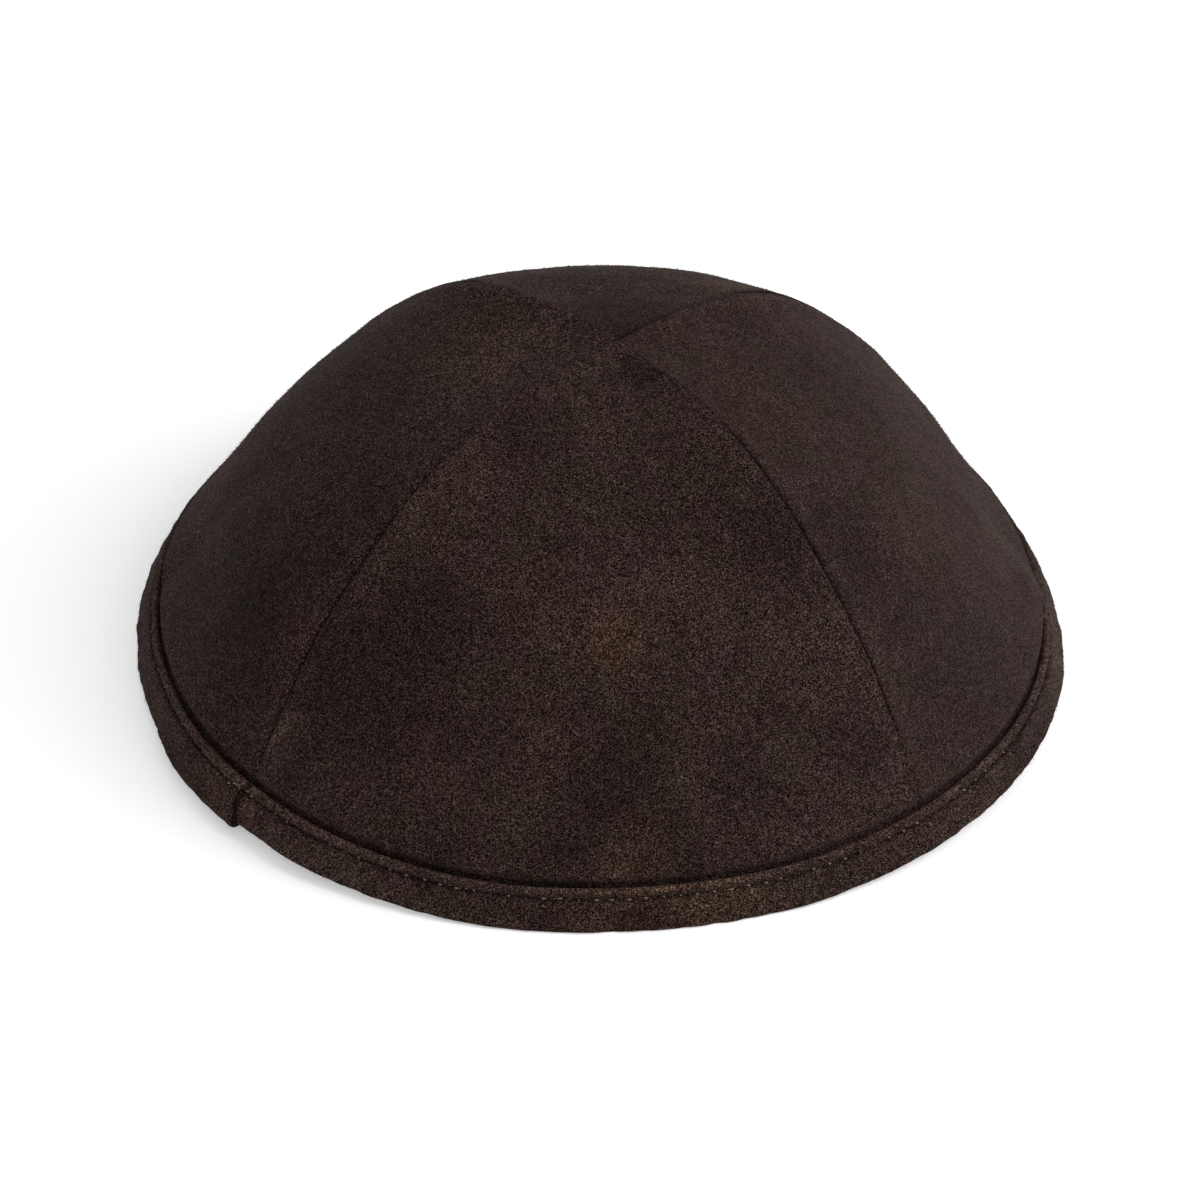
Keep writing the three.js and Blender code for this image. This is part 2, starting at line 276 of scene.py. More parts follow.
def rim_lift(azimuth):
    lift = np.maximum(0, MEAN_LIFT + waves(LIFT_WAVES, azimuth))
    return lift * lift / (lift + LIFT_EASE)


def scaled(vectors, lengths):
    return vectors * lengths[..., None]


def unit(vectors):
    return vectors / np.linalg.norm(vectors, axis=-1, keepdims=True)


def height_along(column, out):
    """A smooth curve through one column of the meridian's table."""
    at = np.array([row["out"] for row in MERIDIAN])
    height = np.array([row[column] for row in MERIDIAN])
    slope = np.zeros(len(at))
    slope[1:-1] = (height[2:] - height[:-2]) / (at[2:] - at[:-2])
    slope[-1] = (height[-1] - height[-2]) / (at[-1] - at[-2])
    k = np.clip(np.searchsorted(at, out, side="right") - 1, 0, len(at) - 2)
    step = at[k + 1] - at[k]
    t = (out - at[k]) / step
    rise = t * t * (3 - 2 * t)
    bend = step * (slope[k] * t * (1 - t) ** 2 - slope[k + 1] * t * t * (1 - t))
    return height[k] + (height[k + 1] - height[k]) * rise + bend


def plan_point(azimuth, out):
    radius = rim_radius(azimuth) * out
    lean = np.maximum(0, 1 - out) ** 1.5
    angle = np.radians(azimuth)
    x = radius * np.sin(angle) + APEX_SHIFT["x"] * lean
    y = -radius * np.cos(angle) + APEX_SHIFT["y"] * lean
    return x, y


def closeness(azimuth):
    """1 where the crown lies close against the binding and 0 away from there."""
    close = np.zeros_like(azimuth)
    for spot in CLOSE_SPOTS:
        away = (azimuth - spot["azimuth"] + 180) % 360 - 180
        close = np.maximum(close, np.exp(-((away / spot["wide"]) ** 4)))
    return close


def dent_depth(x, y):
    depth = np.zeros_like(x)
    for dent in DENTS:
        place = plan_point(np.array(float(dent["azimuth"])), np.array(dent["out"]))
        angle = math.radians(dent["azimuth"])
        aside = (x - place[0], y - place[1])
        outwards = (aside[0] * math.sin(angle) - aside[1] * math.cos(angle)) / (dent["long"] * MM)
        across = (aside[0] * math.cos(angle) + aside[1] * math.sin(angle)) / (dent["wide"] * MM)
        depth += dent["depth"] * MM * np.exp(-outwards**2 - across**2)
    return depth


def band_frame(azimuth):
    """The binding's top edge, the way down its slope and the way it faces."""
    angle = np.radians(azimuth)
    level = np.zeros_like(angle)
    radial = np.stack([np.sin(angle), -np.cos(angle), level], -1)
    up = np.array([0.0, 0.0, 1.0])
    height = BAND_HEIGHT + rim_lift(azimuth)
    top = scaled(radial, rim_radius(azimuth)) + scaled(up + 0 * radial, height)
    down = radial * math.cos(BAND_SLOPE) - up * math.sin(BAND_SLOPE)
    outward = radial * math.sin(BAND_SLOPE) + up * math.cos(BAND_SLOPE)
    return top, down, outward


def seam_azimuths(panel):
    """A panel's first and last azimuth. The last panel is counted on past 180 degrees."""
    first = SEAMS[panel["first"]]["azimuth"]
    last = SEAMS[panel["last"]]["azimuth"]
    return first, last if last > first else last + 360


def crown_point(panel, azimuth, out):
    """The crown's outer surface. Past the binding's top edge it runs on down inside the fold."""
    first, last = seam_azimuths(panel)
    middle = (first + last) / 2
    turn = np.radians(45 * (azimuth - middle) / (last - middle))
    corner = (1 / np.cos(turn) - 1) / (math.sqrt(2) - 1)
    share = np.minimum(out, 1)
    low = height_along("middle", share)
    high = height_along("seam", share)
    sunk = panel["sunk"] * (1 - eased(share, SINK_ENDS / 2, SINK_ENDS))
    x, y = plan_point(azimuth, share)
    z = low + (high - low) * corner + rim_lift(azimuth) * share**3 - sunk - dent_depth(x, y)
    top, down, outward = band_frame(azimuth)
    dip_starts = DIP_STARTS + (CLOSE_DIP_STARTS - DIP_STARTS) * closeness(azimuth)
    dip = (LEAF + CLEARANCE) * eased(share, dip_starts, 1)
    on_crown = np.stack([x, y, z], -1) - scaled(outward, dip)
    inside_fold = top - outward * (LEAF + CLEARANCE) + scaled(down, (out - 1) * RIM_RADIUS)
    return np.where((out > 1)[..., None], inside_fold, on_crown)


def inward_at(panel, azimuth, out):
    """The ways into the cap: square to the crown, and square to it in the upright plane there."""
    turn = 0.4
    step = 0.002
    across = crown_point(panel, azimuth + turn, out) - crown_point(panel, azimuth - turn, out)
    along = crown_point(panel, azimuth, out + step) - crown_point(panel, azimuth, out - step)
    square = unit(np.cross(across, along))
    angle = np.radians(azimuth)
    out_and_up = np.stack([np.sin(angle), -np.cos(angle), np.ones_like(angle)], -1)
    outside = (square * out_and_up).sum(-1) > 0
    square = np.where(outside[..., None], -square, square)
    sideways = np.stack([np.cos(angle), np.sin(angle), np.zeros_like(angle)], -1)
    upright = unit(square - scaled(sideways, (square * sideways).sum(-1)))
    return square, upright


def unevenness(points, table):
    """How far soft cloth swells out at each point, worked out from smooth noise in space."""
    swell = np.zeros(len(points))
    for row in table:
        heights = [noise.noise(Vector(point) / row["size"]) for point in points]
        swell += row["height"] * np.array(heights)
    return swell


# Making meshes by hand

def deselect_all():
    for chosen in list(bpy.context.selected_objects):
        chosen.select_set(False)


def make_active(piece):
    deselect_all()
    piece.select_set(True)
    bpy.context.view_layer.objects.active = piece


def new_object(name, data):
    made = bpy.data.objects.new(name, data)
    bpy.context.scene.collection.objects.link(made)
    return made


def places(piece):
    flat = np.empty(len(piece.data.vertices) * 3)
    piece.data.vertices.foreach_get("co", flat)
    return flat.reshape(-1, 3)


def put_places(piece, points):
    piece.data.vertices.foreach_set("co", np.asarray(points).ravel())
    piece.data.update()


def flat_cloth(name, columns, rows, left_out=None):
    """A flat grid of cloth with a face and a back, still to be shaped. Returns it with each vertex's
    column, row and layer, 0 on the face and 1 on the back."""
    deselect_all()
    bpy.ops.mesh.primitive_grid_add(x_subdivisions=columns, y_subdivisions=rows, size=1)
    cloth = bpy.context.active_object
    cloth.name = name
    cloth.data.name = name
    if left_out is not None:
        points = places(cloth)
        column = np.rint((points[:, 0] + 0.5) * columns)
        row = np.rint((points[:, 1] + 0.5) * rows)
        bpy.ops.object.mode_set(mode="EDIT")
        bpy.ops.mesh.select_mode(type="VERT")
        bpy.ops.mesh.select_all(action="DESELECT")
        bpy.ops.object.mode_set(mode="OBJECT")
        cloth.data.vertices.foreach_set("select", left_out(column, row))
        bpy.ops.object.mode_set(mode="EDIT")
        bpy.ops.mesh.delete(type="VERT")
        bpy.ops.object.mode_set(mode="OBJECT")
    thick = cloth.modifiers.new("Wall", "SOLIDIFY")
    thick.thickness = 1
    thick.offset = -1
    make_active(cloth)
    bpy.ops.object.modifier_apply(modifier=thick.name)
    points = places(cloth)
    column = np.rint((points[:, 0] + 0.5) * columns).astype(int)
    row = np.rint((points[:, 1] + 0.5) * rows).astype(int)
    layer = (points[:, 2] < -0.5).astype(int)
    return cloth, column, row, layer


def mark(piece, name, amounts):
    """Keeps a number at each vertex for the materials to read."""
    marks = piece.data.attributes.new(name, "FLOAT", "POINT")
    marks.data.foreach_set("value", np.ascontiguousarray(amounts, dtype=np.float32))


def close_up(piece, sharp=50):
    """Merges vertices that have come together, takes out the flap of faces that this leaves where two
    turned-in edges meet, and shades the piece smooth up to its sharp edges."""
    make_active(piece)
    bpy.ops.object.mode_set(mode="EDIT")
    bpy.ops.mesh.select_mode(type="EDGE")
    bpy.ops.mesh.select_all(action="SELECT")
    bpy.ops.mesh.remove_doubles(threshold=0.002 * MM)
    for _ in FIN_SHARES:
        bpy.ops.mesh.select_all(action="DESELECT")
        bpy.ops.mesh.select_non_manifold(use_wire=True, use_boundary=True, use_multi_face=False,
                                         use_non_contiguous=False, use_verts=False)
        bpy.ops.mesh.delete(type="EDGE")
    bpy.ops.object.mode_set(mode="OBJECT")
    bpy.ops.object.shade_smooth_by_angle(angle=math.radians(sharp))


# The crown's panels

def panel_lines():
    """The lines of a panel's grid, counted from a seam: how far down the turned-in edge each lies,
    on the face and on the back of the cloth, and how far it lies from the seam."""
    half_width = RIM_RADIUS * math.pi / 4
    turn = np.linspace(0, math.pi / 2, ROLL_STEPS)
    roll = ROLL_WIDTH * (1 - np.cos(turn)) / half_width
    face = np.linspace(roll[-1], DIP_STARTS, FACE_STEPS + 1)[1:]
    dip = np.linspace(DIP_STARTS, 1, DIP_STEPS + 1)[1:]
    tuck = 1 + np.linspace(0, TUCK_DEPTH / RIM_RADIUS, TUCK_STEPS + 1)[1:]
    fins = len(FIN_SHARES)
    apart = np.concatenate([np.zeros(fins), roll, face, dip, tuck])
    turned = np.zeros(len(apart))
    turned[:fins] = FIN_SHARES
    wall = WALL / half_width
    corner = int(np.argmax(apart >= wall))
    turned_back = np.clip((corner - np.arange(len(apart))) / corner, 0, 1)
    apart_back = np.maximum(apart, wall)
    return {"fins": fins, "apart": (apart, apart_back), "turned": (turned, turned_back)}


def panel_place(panel, near_last, near_first):
    """The azimuth and the share out of points given by their shares away from the two seams."""
    first, last = seam_azimuths(panel)
    tip = EDGE_GAP / RIM_RADIUS
    out = np.maximum(near_last, near_first)
    along = np.maximum(out, TINY)
    across = np.where(near_last >= near_first, near_first / along / 2, 1 - near_last / along / 2)
    across = np.where(out < TINY, 0.5, across)
    out = np.where(out < 1, tip + out * (1 - tip), out)
    edge_radius = rim_radius(np.full_like(out, first)) * np.minimum(out, 1)
    sine = np.minimum(EDGE_GAP / np.maximum(edge_radius, EDGE_GAP), EDGE_SINE_LIMIT)
    beside = np.degrees(np.arcsin(sine))
    azimuth = first + beside + (last - first - 2 * beside) * across
    return azimuth, out


def from_first_seam(panel, azimuth, out):
    turn = np.radians(np.minimum(azimuth - seam_azimuths(panel)[0], 90))
    return rim_radius(azimuth) * np.minimum(out, 1) * np.sin(turn)


def groove_depth(panel, azimuth, out):
    """How far the outer face rolls down towards the seams on either side and towards the binding,
    and how far it swells up beside the seams."""
    depth = np.zeros_like(out)
    swell = np.zeros_like(out)
    first, last = seam_azimuths(panel)
    radius = rim_radius(azimuth) * np.minimum(out, 1)
    for seam_name, edge, swell_name in (("first", first, "first_swell"), ("last", last, "last_swell")):
        seam = SEAMS[panel[seam_name]]
        away = radius * np.sin(np.radians(np.abs(azimuth - edge)))
        turned = np.abs(azimuth - edge) > 90
        away = np.where(turned, radius, away)
        clear = seam["least"] + (1 - seam["least"]) * eased(out, seam["faint"], seam["clear"])
        clear *= 1 - GROOVE_LOSES["share"] * eased(out, GROOVE_LOSES["from"], GROOVE_LOSES["to"])
        left = 1 - np.clip(away / ROLL_WIDTH, 0, 1)
        depth = np.maximum(depth, seam["groove"] * clear * (1 - np.sqrt(1 - left**2)))
        beside = hill(away - SWELL_PLACE, SWELL_WIDTH)
        swell += panel[swell_name] * clear * beside * eased(out, SWELL_GROWS["from"], SWELL_GROWS["to"])
    in_shadow = hill((out - SHADOW_GROOVE["out"]) * RIM_RADIUS, SHADOW_GROOVE["width"])
    return depth + SHADOW_GROOVE["depth"] * in_shadow * (1 - closeness(azimuth)), swell


def shape_panel(panel):
    """One panel: its outer face, rolled in at the seams, its turned-in edges and its back."""
    lines = panel_lines()
    size = len(lines["apart"][0]) - 1
    fins = lines["fins"]

    def corner_left_out(column, row):
        return (column < fins) & (row < fins)

    piece, column, row, layer = flat_cloth(panel["node"] + "_suede", size, size, corner_left_out)
    points = places(piece)
    pressed = np.zeros(len(points))
    raised_highlight = np.zeros(len(points))
    for side in (0, 1):
        on = layer == side
        apart, turned = lines["apart"][side], lines["turned"][side]
        azimuth, out = panel_place(panel, apart[column[on]], apart[row[on]])
        square, upright = inward_at(panel, azimuth, out)
        surface = crown_point(panel, azimuth, out)
        fin = TURN_IN["depth"] * eased(out, TURN_IN["starts"], TURN_IN["full"])
        fin *= 1 - eased(out, TURN_IN["thins"], TURN_IN["ends"])
        in_fin = np.maximum(turned[column[on]], turned[row[on]])
        if side == 0:
            groove, beside = groove_depth(panel, azimuth, out)
            uneven = eased(groove, EVEN["groove"], 0) * (1 - eased(out, EVEN["from"], DIP_STARTS))
            swell = unevenness(surface, CROWN_UNEVENNESS) * uneven + beside
            # Darker where the cloth lies in a groove, partly for pressed nap and partly as painted shade,
            # and painted shade in the step beside a sunk panel's first seam
            shadow = panel["shaded"] * (1 - eased(out, SINK_ENDS, SHADE_ENDS))
            shadow *= hill(from_first_seam(panel, azimuth, out), STEP_SHADOW)
            pressed[on] = np.clip(groove / PRESSED_DEPTH + in_fin + shadow, 0, 1)
            # Painted highlight where the cloth stands up beside the seams
            raised_highlight[on] = np.clip(beside / RAISED_HEIGHT, 0, 1)
            shaped = surface + scaled(upright, groove + in_fin * (fin + WALL - groove))
            shaped -= scaled(square, swell * (in_fin == 0))
        else:
            shaped = surface + square * WALL + scaled(upright, in_fin * fin)
        points[on] = shaped
    put_places(piece, points)
    mark(piece, "pressed", pressed)
    mark(piece, "raised_highlight", raised_highlight)
    name_layers(piece, layer)
    close_up(piece)
    return piece


def name_layers(piece, layer):
    """Gives the back of the cloth the piece's second material slot."""
    for face in piece.data.polygons:
        face.material_index = int(all(layer[corner] for corner in face.vertices))


# The binding

def strip_section():
    """The folded strip's cross-section, from the inner leaf's top edge, under the crown's edge, to
    the outer leaf's top edge. A row with "over" is that high over the bottom of the fold."""
    rows = [{**row, "over": False} for row in INNER_EDGE]

    def add(face, face_out, back, back_out, over=False):
        rows.append({"face": face, "face_out": face_out, "back": back, "back_out": back_out,
                     "over": over})

    for down in np.array(INNER_ROWS) * MM:
        add(down, -INSIDE + INNER_HOLLOW * hill(down - STITCH_DOWN, STITCH_LINE), down, -SLOT)
    for inner, turns in ((True, FOLD_TURNS), (False, FOLD_TURNS[::-1])):
        for turn in np.radians(turns):
            aside = FOLD_ROUND * (1 - math.cos(turn))
            over = FOLD_ROUND * (1 - math.sin(turn))
            face_out = -INSIDE + aside if inner else -aside
            back_out = -SLOT + aside / 2 if inner else -LEAF - aside / 2
            add(over, face_out, LEAF + over / 2, back_out, over=True)
    for down in np.array(OUTER_ROWS) * MM:
        relief = sum(row["out"] * hill(down - row["down"], row["width"]) for row in LEAF_RELIEF)
        add(down, relief, down, -LEAF)
    for turn in np.radians(LIP_TURNS):
        add(LIP["reach"] * (1 - math.sin(turn)), LIP["out"] - LIP["reach"] * (1 - math.cos(turn)),
            LIP["back"] * (1 - turn / 3), -LEAF)
    return rows


def lap_climb(azimuth):
    """How far the strip has climbed on to its own start, from 0 to 1. Its azimuths count on past
    180 degrees to its end."""
    climbed = LAP["hidden"] + 360 - LAP["clear"]
    return eased(azimuth, climbed - LAP["climbs"], climbed)


def binding_stations():
    """The azimuths of the strip's stations, which lie closer where its end is rounded."""
    first = LAP["hidden"]
    last = LAP["ends"] + 360
    steps = round((last - first) / STITCH_PITCH * STATIONS_A_STITCH)
    round_cap = np.linspace(first, last, steps + 1)
    end = last - END_WIDTH * (1 - np.sin(np.linspace(0, math.pi / 2, END_STATIONS)))
    return np.concatenate([round_cap[round_cap < last - END_CLEAR * END_WIDTH], end])


def shape_binding():
    """The binding: one strip folded over the crown's lower edge, its end lapped over its start."""
    rows = strip_section()
    stations = binding_stations()
    piece, column, row, layer = flat_cloth("rim_band_suede", len(stations) - 1, len(rows) - 1)
    section = {key: np.array([station[key] for station in rows])[row] for key in rows[0]}
    on_back = layer == 1
    over = section["over"]
    reach = np.where(on_back, section["back"], section["face"])
    out = np.where(on_back, section["back_out"], section["face_out"])

    # The lap: the strip spreads round its own start, and its end is pressed down and rounded
    last = LAP["ends"] + 360
    azimuth = stations[column]
    to_end = (last - azimuth) / END_WIDTH
    climb = lap_climb(azimuth)
    spread = LAP_LIFT * climb
    leaf = np.clip((out + INSIDE / 2) / (INSIDE / 2 - FOLD_ROUND), -1, 1)
    end_left = 1 - np.clip(to_end, 0, 1)
    rounding = LAP_ROUNDED_BY * (1 - np.sqrt(1 - end_left**2))
    pressed = (LAP_PRESSED * climb + rounding) * ~on_back
    out = out + leaf * (spread - pressed)
    to_bottom = BAND_HEIGHT - (reach - spread) + out * math.cos(BAND_SLOPE)
    down_by = np.where(over, to_bottom / math.sin(BAND_SLOPE), reach)
    bow = LAP_BOW * np.sin(math.pi * np.clip(down_by / (BAND_HEIGHT / math.sin(BAND_SLOPE)), 0, 1))
    azimuth = azimuth - bow * eased(azimuth, last - LAP["bends"], last)
    top, down, outward = band_frame(azimuth)
    points = top + scaled(down, down_by) + scaled(outward, out)

    # The relief of its outer leaf: swellings, needle holes and the crack beside the lap
    stitch = (azimuth - LAP["ends"]) / STITCH_PITCH
    pitch = math.radians(STITCH_PITCH) * RIM_RADIUS
    on_line = hill(down_by - STITCH_DOWN, STITCH_LINE)
    hole = HOLE["depth"] * on_line * hill(np.abs(stitch - np.rint(stitch)) * pitch, HOLE["width"])
    dash = hill((stitch - np.floor(stitch) - DASH["at"]) * pitch, DASH["width"])
    dash = DASH["least"] + (1 - DASH["least"]) * dash
    outer_leaf = (out > -LEAF / 2) & ~on_back
    swell = unevenness(points, BAND_UNEVENNESS) * ~on_back
    from_crack = np.radians(azimuth - (LAP["ends"] - bow)) * RIM_RADIUS / LAP_CRACK["width"]
    beside_lap = (azimuth < LAP["ends"] + 90) & (from_crack > -1)
    crack = hill(np.maximum(from_crack, 0), 1) * beside_lap
    points += scaled(outward, np.where(outer_leaf, swell - hole - LAP_CRACK["depth"] * crack, 0))
    points += scaled(down, np.where(over & ~on_back, UNDER_SWELL * np.minimum(swell, 0.0), 0))
    put_places(piece, points)

    # Darker in each stitch's furrow, partly for pressed nap and partly as painted shade, darker with
    # painted shade in the crack beside the lap, and darker towards the strip's end. A painted highlight
    # lies along the lip's top edge, where the nap catches the light.
    at_edge = eased(to_end, LAP_EDGE_DARK["from"], LAP_EDGE_DARK["full"]) * (azimuth > 180)
    lip = hill(down_by - LIP_HIGHLIGHT["down"], LIP_HIGHLIGHT["width"])
    mark(piece, "pressed", np.clip(np.maximum(on_line * dash, crack) + at_edge, 0, 1) * outer_leaf)
    mark(piece, "raised_highlight", lip * outer_leaf * (1 - closeness(azimuth)))
    name_layers(piece, layer)
    close_up(piece)
    return piece


# The thread

def model_stitch():
    """One stitch lying along x: two plies twisted round each other. Its length is 1 here, and its
    other sizes are in metres."""
    plies = []
    for turned in (0, math.pi):
        deselect_all()
        bpy.ops.mesh.primitive_cylinder_add(vertices=THREAD["sides"], radius=THREAD["ply"], depth=1)
        ply = bpy.context.active_object
        bpy.ops.object.mode_set(mode="EDIT")
        for step in range(1, THREAD["steps"]):
            bpy.ops.mesh.select_all(action="SELECT")
            height = step / THREAD["steps"] - 0.5
            bpy.ops.mesh.bisect(plane_co=(0, 0, height), plane_no=(0, 0, 1))
        bpy.ops.object.mode_set(mode="OBJECT")
        across, up, along = places(ply).T
        turn = 2 * math.pi * THREAD["turns"] * along + turned
        crown = hill(along - THREAD["crown"], THREAD["crown_width"])
        across = across + THREAD["apart"] * np.cos(turn)
        up = up + THREAD["apart"] * np.sin(turn) + THREAD["rise"] * crown - THREAD["deep"]
        put_places(ply, np.stack([along, across, up], -1))
        plies.append(ply)
    return join_up(plies, "stitch")


def join_up(pieces, name):
    deselect_all()
    for piece in pieces:
        piece.select_set(True)
    bpy.context.view_layer.objects.active = pieces[0]
    bpy.ops.object.join()
    joined = bpy.context.active_object
    joined.name = name
    joined.data.name = name
    return joined


def stitch_place(row):
    """The place and turn of one stitch on the binding's outer leaf, or on its inner one."""
    azimuth = row["azimuth"]
    counted_on = azimuth if azimuth > LAP["ends"] else azimuth + 360
    lift = (LAP_LIFT - LAP_PRESSED) * float(lap_climb(counted_on))
    top, down, outward = band_frame(np.array(float(azimuth)))
    place = top + down * row["down"] * MM
    out = lift - STITCH_HOLLOW - row["pulled_in"] * MM
    if row["inner"]:
        down, outward, out = -down, -outward, INSIDE + lift - INNER_HOLLOW
    along = np.cross(down, outward)
    turn = math.radians(row["turn"])
    ahead = along * math.cos(turn) + down * math.sin(turn)
    aside = down * math.cos(turn) - along * math.sin(turn)
    turned = Matrix((ahead * row["length"] * MM, aside, outward)).transposed().to_4x4()
    return Matrix.Translation(place + outward * out) @ turned


def sew(name, stitch, rows):
    """Copies the stitch to the place of each row and joins the copies into one piece."""
    copies = []
    for row in rows:
        copy = new_object(name, stitch.data.copy())
        copy.data.transform(stitch_place(row))
        copies.append(copy)
    piece = join_up(copies, name)
    bpy.ops.object.shade_smooth()
    return piece


def topstitching(stitch):
    chance = np.random.default_rng(5)
    rows = []
    for number in range(STITCHES):
        azimuth = LAP["ends"] + (number + 0.5) * STITCH_PITCH
        for inner in (False, True):
            row = {"azimuth": azimuth + chance.normal(0, CHANCE["azimuth"]), "inner": inner}
            for size in ("down", "turn", "length"):
                row[size] = TOPSTITCH[size] + chance.normal(0, CHANCE[size])
            deeper = TOPSTITCH["deeper"] * (1 - hill(azimuth, TOPSTITCH["front"]))
            row["pulled_in"] = deeper + CHANCE["pulled_in"] * chance.random() ** 2 - TOPSTITCH["proud"]
            rows.append(row)
    return sew("rim_topstitch", stitch, rows)


# The nap

def grow_nap(name, ground, count, seed):
    """Short fibres rooted all over the face of a piece, each a closed spike of three sides. They
    lean the way the suede was last stroked, mostly down the cap."""
    chance = np.random.default_rng(seed)
    mesh = ground.data
    faces = [face for face in mesh.polygons if face.material_index == 0 and len(face.vertices) == 4]
    areas = np.array([face.area for face in faces])
    normals = np.array([face.normal for face in faces])
    spots = places(ground)
    corner_numbers = np.array([list(face.vertices) for face in faces])
    corners = spots[corner_numbers]
    pressed = np.empty(len(spots))
    mesh.attributes["pressed"].data.foreach_get("value", pressed)
    areas *= 1 - PRESSED_BARE * pressed[corner_numbers].mean(1)
    picked = chance.choice(len(faces), count, p=areas / areas.sum())
    u, v = chance.random((2, count, 1))
    quad = corners[picked]
    root = ((1 - u) * (1 - v) * quad[:, 0] + u * (1 - v) * quad[:, 1] + u * v * quad[:, 2]
            + (1 - u) * v * quad[:, 3])
    normal = normals[picked]
    downhill = np.array([0.0, 0.0, -1.0]) + root * np.array([NAP["outwards"], NAP["outwards"], 0.0])
    stroke = unit(downhill + chance.normal(0, NAP["stray"], (count, 3)))
    rise = (1 - NAP["lean"]) + NAP["rise"] * chance.random((count, 1))
    way = unit(normal * rise + stroke * NAP["lean"])
    length = NAP["shortest"] + (NAP["longest"] - NAP["shortest"]) * chance.random((count, 1)) ** 2
    side = unit(np.cross(way, chance.normal(0, 1, (count, 3))))
    other = np.cross(way, side)
    base = root - normal * NAP["thick"]
    turns = 2 * math.pi * np.arange(3) / 3
    rim = [base + NAP["thick"] * (side * math.cos(turn) + other * math.sin(turn)) for turn in turns]
    points = np.stack([*rim, root + way * length], 1).reshape(-1, 3)
    first = np.arange(count)[:, None, None] * 4
    sides = np.array([[0, 1, 3], [1, 2, 3], [2, 0, 3], [0, 2, 1]])
    tone = chance.choice(len(NAP_TONES), count, p=[row["share"] for row in NAP_TONES])
    clear_of_floor = points.reshape(-1, 4, 3)[:, :, 2].min(1) > FLOOR_CLEARANCE
    nap = bpy.data.meshes.new(name)
    nap.from_pydata(points.tolist(), [], (first + sides)[clear_of_floor].reshape(-1, 3).tolist())
    nap.polygons.foreach_set("material_index", np.repeat(tone[clear_of_floor], 4))
    nap.update()
    piece = new_object(name, nap)
    make_active(piece)
    bpy.ops.object.mode_set(mode="EDIT")
    bpy.ops.mesh.select_all(action="SELECT")
    bpy.ops.mesh.delete_loose()
    bpy.ops.object.mode_set(mode="OBJECT")
    return piece


# Materials

def add_node(tree, kind, inputs=None, **settings):
    """A node with its settings, and its inputs set to values or linked from other nodes' sockets."""
    made = tree.nodes.new(kind)
    for name, value in settings.items():
        setattr(made, name, value)
    for key, value in (inputs or {}).items():
        if isinstance(value, bpy.types.NodeSocket):
            tree.links.new(value, made.inputs[key])
        else:
            made.inputs[key].default_value = value
    return made


def new_material(name):
    material = bpy.data.materials.new(name)
    material.use_nodes = True
    material.node_tree.nodes.clear()
    return material, material.node_tree


def finish_material(tree, inputs):
    shader = add_node(tree, "ShaderNodeBsdfPrincipled", inputs)
    add_node(tree, "ShaderNodeOutputMaterial", {"Surface": shader.outputs[0]})


def speckle(tree, place, size, detail=2.0, distortion=0.0, roughness=0.5):
    made = add_node(tree, "ShaderNodeTexNoise", {
        "Vector": place, "Scale": 1 / size, "Detail": detail, "Distortion": distortion,
        "Roughness": roughness})
    return made.outputs["Fac"]


def ramp(tree, value, low, high, start=0.0, end=1.0, kind="LINEAR"):
    """A value that runs from start to end as the one given runs from low to high."""
    return add_node(tree, "ShaderNodeMapRange", {
        "Value": value, "From Min": low, "From Max": high, "To Min": start, "To Max": end},
        interpolation_type=kind).outputs["Result"]


def spread_about_one(tree, value, low, high, amount):
    return ramp(tree, value, low, high, 1 - amount, 1 + amount)


def number_math(tree, operation, *numbers):
    return add_node(tree, "ShaderNodeMath", dict(enumerate(numbers)), operation=operation).outputs[0]


def vector_math(tree, operation, *vectors):
    return add_node(tree, "ShaderNodeVectorMath", dict(enumerate(vectors)), operation=operation).outputs


def tinted(tree, colour, tint):
    return vector_math(tree, "MULTIPLY", colour, tint)[0]


def mixed(tree, share, first, second):
    made = add_node(tree, "ShaderNodeMix", data_type="RGBA")
    for name, value in (("Factor_Float", share), ("A_Color", first), ("B_Color", second)):
        socket = next(s for s in made.inputs if s.identifier == name)
        if isinstance(value, bpy.types.NodeSocket):
            tree.links.new(value, socket)
        else:
            socket.default_value = value
    return next(s for s in made.outputs if s.identifier == "Result_Color")


